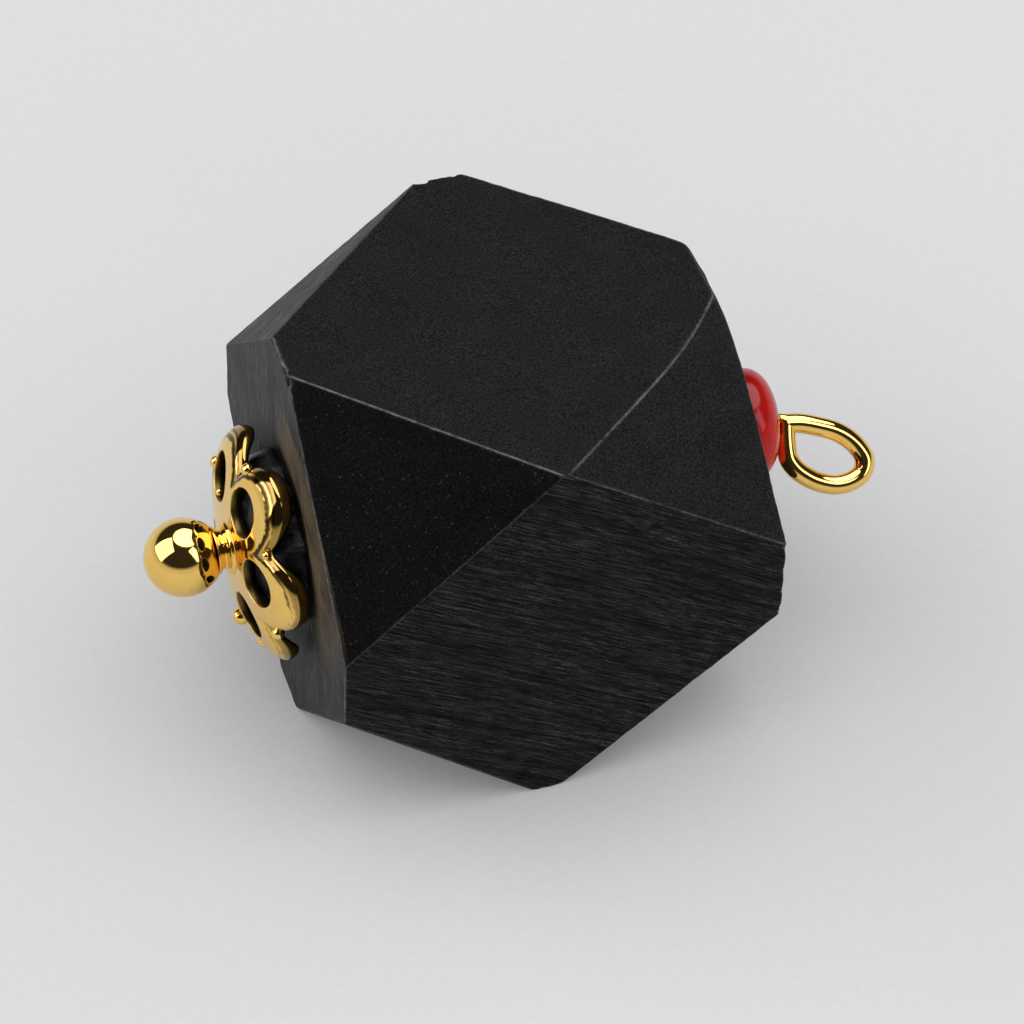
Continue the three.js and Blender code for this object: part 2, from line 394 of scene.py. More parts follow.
def onto_stone(points):
    """Slides each point along its ray from the stone's middle until the field is zero, by
    halving the interval between a share well inside and one outside."""
    low, high = np.full(len(points), 0.9), np.full(len(points), 1.02)
    for _ in range(18):
        middle = (low + high) / 2
        outside = stone_field(points * middle[:, None]) > 0
        high = np.where(outside, middle, high)
        low = np.where(outside, low, middle)
    return points * ((low + high) / 2)[:, None]


def facet_boundary(facet):
    ring = RINGS[facet]
    parts = []
    for a, b in zip(ring, ring[1:] + ring[:1]):
        steps = EDGE_STEPS[frozenset((a, b))]
        share = (np.arange(steps) / steps)[:, None]
        # The share runs the same way on both sides of an edge, so that the two sides meet.
        parts.append(CORNERS[a][0] * (1 - share) + CORNERS[b][0] * share)
    return np.vstack(parts)


def mark_facets(stone):
    """Writes the look of the facet that each face belongs to, which is the one whose plane its
    middle comes nearest to, and a map in millimetres laid on it with u along its grain."""
    mesh = stone.data
    count = len(mesh.polygons)
    middles = np.empty(count * 3)
    mesh.polygons.foreach_get("center", middles)
    middles = middles.reshape(-1, 3) / METRES - STONE_MIDDLE
    facet = (middles @ NORMALS.T - DISTANCES).argmax(axis=1)
    looks = [FACET_LOOKS.get(name, OTHER_FACETS) for name in FACET_NAMES]
    for label, place in (("grain_strength", 1), ("grit_strength", 2), ("facet_roughness", 3)):
        write_attribute(stone, label, "FACE", np.array([look[place] for look in looks])[facet])
    write_attribute(stone, "facet_tone_and_shade", "FACE", np.array([look[4] for look in looks])[facet])

    along = np.array([unit(np.array(look[0]) - (np.array(look[0]) @ normal) * normal)
                      for look, normal in zip(looks, NORMALS)])
    across = np.cross(NORMALS, along)
    for name, wider in COARSER_GRAIN.items():
        across[FACET_NAMES.index(name)] /= wider
    corners = np.empty(len(mesh.loops), int)
    mesh.loops.foreach_get("vertex_index", corners)
    sides = np.empty(count, int)
    mesh.polygons.foreach_get("loop_total", sides)
    owner = np.repeat(facet, sides)
    points = np.empty(len(mesh.vertices) * 3)
    mesh.vertices.foreach_get("co", points)
    points = points.reshape(-1, 3)[corners] / METRES
    plan = np.stack([
        (points * along[owner]).sum(axis=1) + 40.0 * owner,
        (points * across[owner]).sum(axis=1)], 1)
    mesh.uv_layers.new(name="facet_plan").data.foreach_set("uv", plan.ravel())


def mark_rubbed_and_highlit_edges(stone, points):
    """Writes how pale each point is, partly rubbed and partly a painted highlight along the rounded
    edge: the strength of the edge between the two nearest facet planes, times a bell over the gap
    between their distances, times broken noise. The front shoulder and the facet below it count as
    one here, joined by a soft maximum."""
    beyond = points @ NORMALS.T - DISTANCES
    facet, shoulder = FACET_NAMES.index("top_front_right"), FACET_NAMES.index("shoulder_front")
    beyond[:, facet] = SHOULDER_ROUNDING * np.logaddexp(
        beyond[:, facet] / SHOULDER_ROUNDING, beyond[:, shoulder] / SHOULDER_ROUNDING)
    beyond[:, shoulder] = NEVER_NEAREST
    order = np.argsort(beyond, axis=1)
    first, second = order[:, -1], order[:, -2]
    rows = np.arange(len(points))
    gap = beyond[rows, first] - beyond[rows, second]
    strength = np.full((len(FACET_NAMES),) * 2, RUBBED_AND_HIGHLIT_ELSEWHERE[0])
    width = np.full((len(FACET_NAMES),) * 2, RUBBED_AND_HIGHLIT_ELSEWHERE[1])
    for one, other, pale, wide in RUBBED_AND_HIGHLIT_EDGES:
        a, b = FACET_NAMES.index(one), FACET_NAMES.index(other)
        strength[a, b] = strength[b, a] = pale
        width[a, b] = width[b, a] = wide
    broken = 0.75 + 0.35 * smooth_lattice(points, 0.5, 11) + 0.45 * smooth_lattice(points, 0.16, 12)
    bell = np.exp(-(gap / width[first, second]) ** 2)
    inside = beyond[rows, first] > -1.0
    # How pale the point is: partly rubbed, partly a painted highlight along the edge.
    rubbed = strength[first, second] * bell * np.clip(broken, 0, 1.3) * inside
    write_attribute(stone, "edge_wear_and_highlight", "POINT", rubbed)


def make_stone(material):
    """Each facet is a grid of rings: from its boundary straight in to its middle, or to the
    round mouth of the bore, with rows packed near the edges. Every point then slides onto the
    worn surface. The bore is a lofted tube between its two mouths."""
    points, faces, start, mouths = [], [], 0, {}
    for facet, name in enumerate(FACET_NAMES):
        boundary = facet_boundary(facet)
        count = len(boundary)
        drilled = name in ("left", "right")
        if drilled:
            depth = DISTANCES[facet] / NORMALS[facet][0]
            middle = np.array([depth, 0.0, 0.0])
        else:
            middle = np.mean([CORNERS[n][0] for n in RINGS[facet]], axis=0)
        reach = boundary - middle
        inner = np.repeat(middle[None], count, 0)
        if drilled:
            flat = reach * [0, 1, 1]
            inner = inner + STONE_BORE * flat / np.linalg.norm(flat, axis=1)[:, None]
            aside = inner @ (NORMALS[facet] * [0, 1, 1])
            inner[:, 0] = (DISTANCES[facet] - aside) / NORMALS[facet][0]
        inradius = np.linalg.norm(reach, axis=1).min()
        shares = [d / inradius for d in ROWS_FROM_EDGE if d < 0.75 * inradius] + [1.0]
        rows = np.array([boundary * (1 - s) + inner * s for s in shares])
        seated = onto_stone(rows[:-1].reshape(-1, 3)).reshape(len(shares) - 1, count, 3)
        rows = np.concatenate([seated, rows[-1:]])
        points.append(rows.reshape(-1, 3))
        faces.append(grid_faces(len(shares), count, True, start))
        start += len(shares) * count
        mouths[name] = rows[-1]
    left, right = mouths["left"], mouths["right"][::-1]
    turn = np.arctan2(right[:, 2], right[:, 1]) - np.arctan2(left[0, 2], left[0, 1])
    shift = int(np.argmin(abs(np.angle(np.exp(1j * turn)))))
    right = np.roll(right, -shift, axis=0)
    lengths = np.linspace(0, 1, 12)
    tube = np.array([left * (1 - s) + right * s for s in lengths])
    spread = np.linalg.norm(tube[..., 1:], axis=2, keepdims=True)
    tube[..., 1:] *= STONE_BORE / spread
    tube[0], tube[-1] = left, right
    points.append(tube.reshape(-1, 3))
    faces.append(grid_faces(len(lengths), len(left), True, start))
    place, kept = welded(np.vstack(points), np.vstack(faces))
    stone = new_piece("jet_stone", place, kept, material, "stone")
    mark_facets(stone)
    mark_rubbed_and_highlit_edges(stone, place)


def turned_points(profile, sides):
    """A profile of (along, out from the axis) pairs carried round the x axis."""
    angle = np.linspace(0, 2 * math.pi, sides, endpoint=False)
    along, out = np.asarray(profile, float).T
    return np.stack([
        np.repeat(along[:, None], sides, 1),
        out[:, None] * np.cos(angle),
        out[:, None] * np.sin(angle)], -1)


def smooth_profile(knots, count):
    """A curve through the knots (Catmull-Rom), evenly sampled in the curve's parameter."""
    knots = np.asarray(knots, float)
    padded = np.vstack([2 * knots[0] - knots[1], knots, 2 * knots[-1] - knots[-2]])
    place = np.linspace(0, len(knots) - 1, count)
    base = np.minimum(place.astype(int), len(knots) - 2)
    t = (place - base)[:, None]
    a, b, c, d = (padded[base + n] for n in range(4))
    return 0.5 * (2 * b + (c - a) * t + (2 * a - 5 * b + 4 * c - d) * t**2
                  + (3 * b - a - 3 * c + d) * t**3)


def ball_mesh(centre, radius, rings, sides):
    """A ball by its latitude and longitude, its poles closed."""
    latitude = np.linspace(0, math.pi, rings)
    profile = np.stack([-np.cos(latitude) * radius, np.sin(latitude) * radius], 1)
    points = turned_points(profile, sides).reshape(-1, 3)
    points[:sides, 1:] = 0
    points[-sides:, 1:] = 0
    return points + centre, grid_faces(rings, sides, True)


def merged(*meshes):
    """Several point and face arrays as one."""
    points, faces, start = [], [], 0
    for place, quads in meshes:
        points.append(place)
        faces.append(quads + start)
        start += len(place)
    return np.vstack(points), np.vstack(faces)


LEFT_OUT = unit([-1, *CAP_LEAN])
LEFT_UP = unit(np.array([0, 0, 1]) - LEFT_OUT * LEFT_OUT[2])
LEFT_BACK = np.cross(LEFT_OUT, LEFT_UP)
CAP_PLACE = np.array([FACETS["left"][2] / facet_normal("left")[0], 0, 0]) + CAP_HANG


def on_left_facet(upward, backward, outward):
    """From the cap's own plan and height to the stone's frame."""
    return (CAP_PLACE + np.asarray(upward)[..., None] * LEFT_UP
            + np.asarray(backward)[..., None] * LEFT_BACK
            + np.asarray(outward)[..., None] * LEFT_OUT)


def cap_outline_depth(x, y):
    """How deep a plan point lies inside the cap's outline: the soft maximum, over the petals
    and the middle disc, of each circle's radius less the distance from its centre."""
    depths = [PETAL_RING - np.hypot(x, y)]
    for petal in range(PETALS):
        turn = 2 * math.pi * petal / PETALS
        ring = PETAL_RING + PETAL_SHIFT[petal]
        away = np.hypot(x - ring * math.cos(turn), y - ring * math.sin(turn))
        depths.append(PETAL_RADIUS - away)
    depths = np.array(depths)
    highest = depths.max(axis=0)
    return highest + NOTCH_SOFTNESS * np.log(
        np.exp((depths - highest) / NOTCH_SOFTNESS).sum(axis=0))


def first_crossing(inside, low, high):
    """The largest share along each ray that is still inside, by halving."""
    for _ in range(34):
        middle = (low + high) / 2
        within = inside(middle)
        low, high = np.where(within, middle, low), np.where(within, high, middle)
    return low


def notch_point(notch):
    """The heading and place of the notch after a petal: where, among headings half way to the
    next petal, the cap's outline comes nearest to the wire."""
    around = 2 * math.pi * (notch + 0.5) / PETALS + np.radians(np.linspace(-8, 8, 161))
    cos, sin = np.cos(around), np.sin(around)
    reach = first_crossing(
        lambda far: cap_outline_depth(far * cos, far * sin) > 0,
        np.full(len(around), 1.0), np.full(len(around), 6.0))
    nearest = int(reach.argmin())
    return around[nearest], reach[nearest] * np.array([cos[nearest], sin[nearest]])


def petal_sector(petal):
    """One sixth of the cap's plan: rays from the petal's hole to the sector's boundary, which
    is the petal's outline from notch to notch, the lines from the notches to the bore, and
    the bore's arc. Returns x and y on a grid of (share along the ray, place on the boundary)."""
    before, notch_before = notch_point((petal - 1) % PETALS)
    after, notch_after = notch_point(petal)
    before -= 2 * math.pi * (before > after)
    turn = 2 * math.pi * petal / PETALS + HOLE_TURN
    centre = HOLE_RING * np.array([math.cos(turn), math.sin(turn)])

    def heading(point):
        off = point - centre
        return turn + math.remainder(math.atan2(off[1], off[0]) - turn, 2 * math.pi)

    angles = np.linspace(heading(notch_before), heading(notch_after), OUTLINE_STEPS, endpoint=False)
    cos, sin = np.cos(angles), np.sin(angles)
    reach = first_crossing(
        lambda far: cap_outline_depth(centre[0] + far * cos, centre[1] + far * sin) > 0,
        np.full(len(angles), PETAL_HOLE), np.full(len(angles), 4.0))
    outline = centre + reach[:, None] * np.stack([cos, sin], 1)
    outline[0] = notch_before
    share = np.linspace(0, 1, NOTCH_STEPS, endpoint=False)[:, None]
    bore_after = CAP_BORE * np.array([math.cos(after), math.sin(after)])
    bore_before = CAP_BORE * np.array([math.cos(before), math.sin(before)])
    arc = np.linspace(after, before, BORE_STEPS, endpoint=False)
    boundary = np.vstack([
        outline,
        notch_after * (1 - share) + bore_after * share,
        CAP_BORE * np.stack([np.cos(arc), np.sin(arc)], 1),
        bore_before[None],
        # The second line runs the other way, so that its points are the neighbour's own.
        (notch_before * (1 - share[1:]) + bore_before * share[1:])[::-1]])
    off = boundary - centre
    far = np.linalg.norm(off, axis=1)
    shares = (1 - np.cos(np.linspace(0, math.pi, RAY_STEPS))) / 2
    along = PETAL_HOLE + (far - PETAL_HOLE) * shares[:, None]
    return centre[0] + along * off[:, 0] / far, centre[1] + along * off[:, 1] / far


def hole_depth(x, y):
    """How far a plan point lies from the nearest hole's edge, the bore's included."""
    depth = np.hypot(x, y) - CAP_BORE
    for petal in range(PETALS):
        turn = 2 * math.pi * petal / PETALS + HOLE_TURN
        away = np.hypot(x - HOLE_RING * math.cos(turn), y - HOLE_RING * math.sin(turn))
        depth = np.minimum(depth, away - PETAL_HOLE)
    return depth


def cap_skins(x, y):
    """Heights of the upper and lower skins. The upper is the dome's, with a straight bevel
    along the rim and a small round below it. The lower is the dome's underside, curving up
    to meet it. Round each hole both are drawn together along a quarter of an ellipse."""
    ring = np.hypot(x, y)
    knots_top, knots_under = smooth_profile(CAP_TOP, 200), smooth_profile(CAP_UNDER, 200)
    top = np.interp(ring, knots_top[:, 0], knots_top[:, 1])
    under = np.interp(ring, knots_under[:, 0], knots_under[:, 1])
    depth = np.clip(cap_outline_depth(x, y), 0, None)
    depth[depth < 1e-4] = 0
    width, slope = RIM_BEVEL
    soft = BEVEL_SOFTNESS
    bevel = slope * soft * np.log1p(np.exp((width - depth) / soft))
    edge = np.clip(1 - depth / RIM_EDGE, 0, 1)
    upper = top - bevel - RIM_EDGE * (1 - np.sqrt(1 - edge**2))
    meeting = top - slope * soft * math.log1p(math.exp(width / soft)) - RIM_EDGE
    tuck = np.clip(1 - depth / RIM_UNDER, 0, 1)
    lower = np.minimum(under, meeting - RIM_THICKNESS)
    lower = lower + (meeting - lower) * (1 - np.sqrt(1 - tuck**2))
    near_hole = np.clip(1 - hole_depth(x, y) / HOLE_ROUNDING, 0, 1)
    near_hole[near_hole > 1 - 1e-4] = 1
    fullness = np.sqrt(1 - near_hole**2)
    middle = (upper + lower) / 2
    return middle + (upper - middle) * fullness, middle + (lower - middle) * fullness


def painted_rim_shade(x, y):
    """How much painted shade the rim gets, in place of its dark reflection: dark from a ragged border
    out to the edge, wider over the two upper petals and a little lighter within a tenth of a
    millimetre of the edge, but for a narrow line half way down the bevel that is left unpainted,
    where the real highlight shows."""
    depth = cap_outline_depth(x, y)
    spots = np.stack([x.ravel(), y.ravel(), 0 * x.ravel()], 1)
    ragged = 0.05 * smooth_lattice(spots, 0.35, 21) + 0.03 * smooth_lattice(spots, 0.12, 22)
    ragged = ragged.reshape(x.shape)
    upward = np.clip(2 * np.cos(np.arctan2(y, x) + 0.5), 0, 1)
    border = 0.16 + 0.22 * upward + ragged
    dark = np.clip((border - depth) / 0.03, 0, 1)
    # A line left out of the painted shade, where the real highlight shows.
    rubbed = np.exp(-((depth - 0.1 - 0.08 * upward - ragged / 2) / 0.035) ** 2)
    return dark * (1 - rubbed) * np.where(depth < 0.1, 0.6, 1.0)


def make_cap(material):
    """The cap's plan is six sectors. Each gives a grid for the upper skin and one for the
    lower, which meet all round the rims. Then the plan is set on the stone's left facet."""
    points, faces, inside, start = [], [], [], 0
    at = math.radians(FIRST_PETAL)
    for petal in range(PETALS):
        x, y = petal_sector(petal)
        rows, columns = x.shape
        up = x * math.cos(at) - y * math.sin(at)
        back = x * math.sin(at) + y * math.cos(at)
        upper, lower = cap_skins(x, y)
        # Painted shade on the walls of the holes and, below, on the cap's underside; both are also
        # made rougher.
        hole_wall_shade = np.clip((0.07 - hole_depth(x, y)) / 0.04, 0, 0.9)
        # Painted shade along the rims.
        shade = painted_rim_shade(x, y)
        for height, flip, rough_and_shaded in ((upper, True, hole_wall_shade), (lower, False, 1 - shade)):
            points.append(on_left_facet(up, back, height).reshape(-1, 3))
            faces.append(grid_faces(rows, columns, True, start, flip))
            inside.append(np.stack([rough_and_shaded, shade], -1).reshape(-1, 2))
            start += rows * columns
    points = np.vstack(points)
    place, kept = welded(points, np.vstack(faces))
    cap = new_piece("petalled_cap", place, kept, material, "bead_cap")
    first, _ = shared_places(points)
    rough_and_shaded, shade = np.concatenate(inside)[first].T
    write_attribute(cap, "unpolished_and_painted_shade", "POINT", rough_and_shaded)
    write_attribute(cap, "rim_painted_dark", "POINT", shade)


def make_adhesive(material):
    """The dark adhesive under the cap: its top follows the cap's underside, sags in waves, and
    rounds down to the stone at an uneven border that is squeezed out in the notches."""
    angle = np.linspace(0, 2 * math.pi, 240, endpoint=False)
    circle = np.stack([np.cos(angle), np.sin(angle), 0 * angle], 1)
    border = (ADHESIVE_BORDER + 0.15 * smooth_lattice(circle * 4, 1.1, 31)
              + 0.08 * smooth_lattice(circle * 4, 0.4, 32))
    for notch, out in SQUEEZED_OUT:
        at = math.radians(FIRST_PETAL + 360 / PETALS * notch)
        border += out * np.exp(-(np.angle(np.exp(1j * (angle - at))) / 0.12) ** 2)
    shares = np.sin(np.linspace(0, math.pi / 2, 40))[:, None]
    ring = 0.5 + (border - 0.5) * shares
    x, y = ring * np.cos(angle), ring * np.sin(angle)
    spots = np.stack([x.ravel(), y.ravel(), 0 * x.ravel()], 1)
    waves = 0.12 * smooth_lattice(spots, 0.9, 33) + 0.05 * smooth_lattice(spots, 0.3, 34)
    waves = waves.reshape(x.shape)
    knots = smooth_profile(CAP_UNDER, 200)
    under = np.interp(ring, knots[:, 0], knots[:, 1])
    height = 0.1 + (under - 0.28 + waves) * np.sqrt(np.clip(1 - shares**8, 0, 1))
    height = np.minimum(height, under - 0.02)
    top = on_left_facet(x, y, height)
    base = on_left_facet(x[[0, -1]], y[[0, -1]], np.full((2, len(angle)), -0.1))
    rows = np.concatenate([base[:1], top, base[1:], base[:1]])
    place, kept = welded(rows.reshape(-1, 3), grid_faces(len(rows), len(angle), True, 0, True))
    new_piece("dark_adhesive", place, kept, material)


# Grains on the cap: (petal count from the first, to the middle of the grain, distance from
# the wire, height, radius). A notch lies half a petal on.
GRAINS = [
    (0.42, 3.66, 1.92, 0.27),
    (1.5, 3.85, 1.8, 0.24),
    (2.5, 3.8, 1.98, 0.37),
    (3.57, 4.2, 1.56, 0.27),
    (4.5, 3.8, 1.8, 0.2),
    (5.4, 4.12, 1.6, 0.28),
    (2.79, 4.3, 1.58, 0.2),
    (2.98, 4.2, 1.66, 0.2),
    (0.3, 2.3, 2.2, 0.17),
]


def make_grains(material):
    """Small balls of gold, each a little sunk into the cap."""
    grains = []
    for petal, ring, height, radius in GRAINS:
        turn = math.radians(FIRST_PETAL) + 2 * math.pi * petal / PETALS
        centre = on_left_facet(ring * math.cos(turn), ring * math.sin(turn), height)
        grains.append(ball_mesh(centre, radius, 24, 36))
    place, kept = welded(*merged(*grains))
    new_piece("cap_grains", place, kept, material)


# The collar's profile: (height over the left facet, distance from the wire).
COLLAR = [
    (2.1, 0.5), (2.12, 1.45), (2.38, 1.42), (2.44, 1.2), (2.51, 1.15), (2.58, 1.1), (2.64, 0.98),
    (2.72, 0.86), (2.8, 0.84), (2.92, 0.94), (3.04, 1.04), (3.1, 1.02), (3.07, 0.9), (2.95, 0.8),
    (2.8, 0.5),
]


def make_collar(material):
    """A turned collar between the cap and the ball, its profile a curve through the knots."""
    profile = smooth_profile(COLLAR, 120)
    profile = np.vstack([profile, profile[:1]])
    ring = turned_points(profile, 96)
    height, out_y, out_z = ring[..., 0], ring[..., 1], ring[..., 2]
    points = on_left_facet(out_y, out_z, height).reshape(-1, 3)
    place, kept = welded(points, grid_faces(len(profile), 96, True))
    new_piece("cap_collar", place, kept, material)


def make_pin(material):
    """The ball, the straight wire and the loop. The loop is a round section carried along the
    teardrop, in the plane through the wire that is turned by LOOP_TURN. At the corner both
    ends are cut on the plane that halves the angle, so that they close on each other in a
    mitre. There the straight wire bends and tapers into them."""
    turn = math.radians(LOOP_TURN)
    along = np.array([1.0, 0, 0])
    out = np.array([0, math.cos(turn), math.sin(turn)])
    aside = np.cross(along, out)
    path = smooth_profile([LOOP_CORNER, *LOOP_OUTLINE, LOOP_CORNER], 160)
    tangent = np.gradient(path, axis=0)
    tangent[0], tangent[-1] = path[1] - path[0], path[-1] - path[-2]
    tangent /= np.linalg.norm(tangent, axis=1)[:, None]
    outward = np.stack([tangent[:, 1], -tangent[:, 0]], 1)
    bisector = unit(-(tangent[0] - tangent[-1]))
    half_angle = math.acos(np.clip(-(tangent[0] @ bisector), -1, 1))
    sign = np.sign(outward[0] @ bisector)
    stretch = 1 / math.sin(half_angle)
    outward = outward * sign
    outward[0] = outward[-1] = bisector * stretch
    # The added thickness goes into the opening, so that the loop's outline stays.
    quarter = len(path) // 4
    inward = np.sign((path.mean(axis=0) - path[quarter]) @ outward[quarter])
    path = path + LOOP_THICKER * outward * inward
    sides = 40
    angle = np.linspace(0, 2 * math.pi, sides, endpoint=False)
    ring_in = (WIRE_RADIUS + LOOP_THICKER) * np.cos(angle)
    ring_side = (WIRE_RADIUS + LOOP_THICKER) * np.sin(angle)
    flat = path[:, None] + outward[:, None] * ring_in[None, :, None]
    points = (flat[..., :1] * along + flat[..., 1:2] * out
              + ring_side[None, :, None] * aside).reshape(-1, 3)
    loop = (points, grid_faces(len(path), sides, True, 0, flip=bool(sign > 0)))

    corner, aside_by = LOOP_CORNER
    wire_profile = [
        (BALL_PLACE, 0), (BALL_PLACE, WIRE_RADIUS), (corner - BEND_LENGTH, WIRE_RADIUS),
        (corner - 0.35, 0.34), (corner - 0.15, 0.26), (corner, 0.15), (corner, 0)]
    places = np.array([place for place, _ in wire_profile])
    bend = aside_by * np.clip((places - corner + BEND_LENGTH) / BEND_LENGTH, 0, 1)
    wire_points = turned_points(wire_profile, 40) + bend[:, None, None] * out
    wire_points = wire_points.reshape(-1, 3)
    wire = (wire_points, grid_faces(len(wire_profile), 40, True))
    ball = ball_mesh(np.array([BALL_PLACE, 0, 0]), BALL_RADIUS, 64, 96)
    place, kept = welded(*merged(ball, wire, loop))
    new_piece("ball_and_loop", place, kept, material, "ball_pin")


def make_bead(material):
    """A fat rondelle: a superellipse turned about its bore, whose mouths are softly rounded."""
    limit = math.acos((BEAD_BORE / BEAD_RADIUS) ** (BEAD_FULLNESS / 2))
    angle = np.linspace(-limit, limit, 90)
    out = BEAD_RADIUS * np.cos(angle) ** (2 / BEAD_FULLNESS)
    along = BEAD_HALF_LENGTH * np.sign(angle) * abs(np.sin(angle)) ** (2 / BEAD_FULLNESS)
    profile = np.stack([along, out], 1)
    profile = np.vstack([profile, profile[:1]])
    ring = turned_points(profile, 96).reshape(-1, 3)
    axis = unit([1, *BEAD_TILT])
    up = unit(np.cross(axis, [0, 1, 0]))
    side = np.cross(up, axis)
    points = np.outer(ring[:, 0], axis) + np.outer(ring[:, 1], side) + np.outer(ring[:, 2], up)
    place, kept = welded(points, grid_faces(len(profile), 96, True))
    new_piece(
        "coral_bead", place + [BEAD_MIDDLE, 0, 0], kept, material, "red_bead")


def node(tree, kind, **values):
    """A shader node with its inputs (by name) and properties set; a value may be a socket."""
    made = tree.nodes.new(kind)
    for name, value in values.items():
        label = name.replace("_", " ")
        found = next((s for s in made.inputs if s.name.lower() == label.lower()), None)
        if found is None:
            setattr(made, name, value)
        elif isinstance(value, bpy.types.NodeSocket):
            tree.links.new(value, found)
        else:
            found.default_value = value
    return made


def new_material(name):
    material = bpy.data.materials.new(name)
    material.use_nodes = True
    tree = material.node_tree
    shader = tree.nodes["Principled BSDF"]
    place = tree.nodes.new("ShaderNodeTexCoord").outputs["Object"]
    return material, tree, shader, place


def ramp(tree, value, stops):
    made = tree.nodes.new("ShaderNodeValToRGB")
    while len(made.color_ramp.elements) < len(stops):
        made.color_ramp.elements.new(0.5)
    for element, (place, colour) in zip(made.color_ramp.elements, stops):
        element.position = place
        element.color = (*colour, 1)
    tree.links.new(value, made.inputs["Fac"])
    return made.outputs["Color"]


def attribute(tree, name, output="Fac"):
    made = tree.nodes.new("ShaderNodeAttribute")
    made.attribute_name = name
    return made.outputs[output]


def maths(tree, operation, first, second=0.0, third=0.0):
    made = tree.nodes.new("ShaderNodeMath")
    made.operation = operation
    for socket, value in zip(made.inputs, (first, second, third)):
        if isinstance(value, bpy.types.NodeSocket):
            tree.links.new(value, socket)
        else:
            socket.default_value = value
    return made.outputs[0]


def product(tree, first, *others):
    for other in others:
        first = maths(tree, "MULTIPLY", first, other)
    return first


def mixed(tree, share, first, second):
    """The first colour, passing into the second as the share rises to 1."""
    made = node(tree, "ShaderNodeMixRGB", Fac=share, Color1=first, Color2=(*second, 1))
    return made.outputs[0]


def spread(tree, value, low, high, to_low=0.0, to_high=1.0):
    """The value carried from one range to another and held at its ends."""
    made = tree.nodes.new("ShaderNodeMapRange")
    tree.links.new(value, made.inputs["Value"])
    ends = {"From Min": low, "From Max": high, "To Min": to_low, "To Max": to_high}
    for label, number in ends.items():
        made.inputs[label].default_value = number
    return made.outputs[0]


def noise(tree, place, scale, stretch=(1, 1, 1), detail=3.0, roughness=0.55, distortion=0.0):
    """Noise whose cells are drawn out by scaling the place unevenly first."""
    mapped = tree.nodes.new("ShaderNodeMapping")
    mapped.inputs["Scale"].default_value = stretch
    tree.links.new(place, mapped.inputs["Vector"])
    made = node(tree, "ShaderNodeTexNoise", Vector=mapped.outputs[0], Scale=scale, Detail=detail,
                Roughness=roughness, Distortion=distortion)
    return made.outputs["Fac"]


# Faces further left than this (mm) belong to the facet under the cap.
LEFT_FACET_BEGINS = -8.9


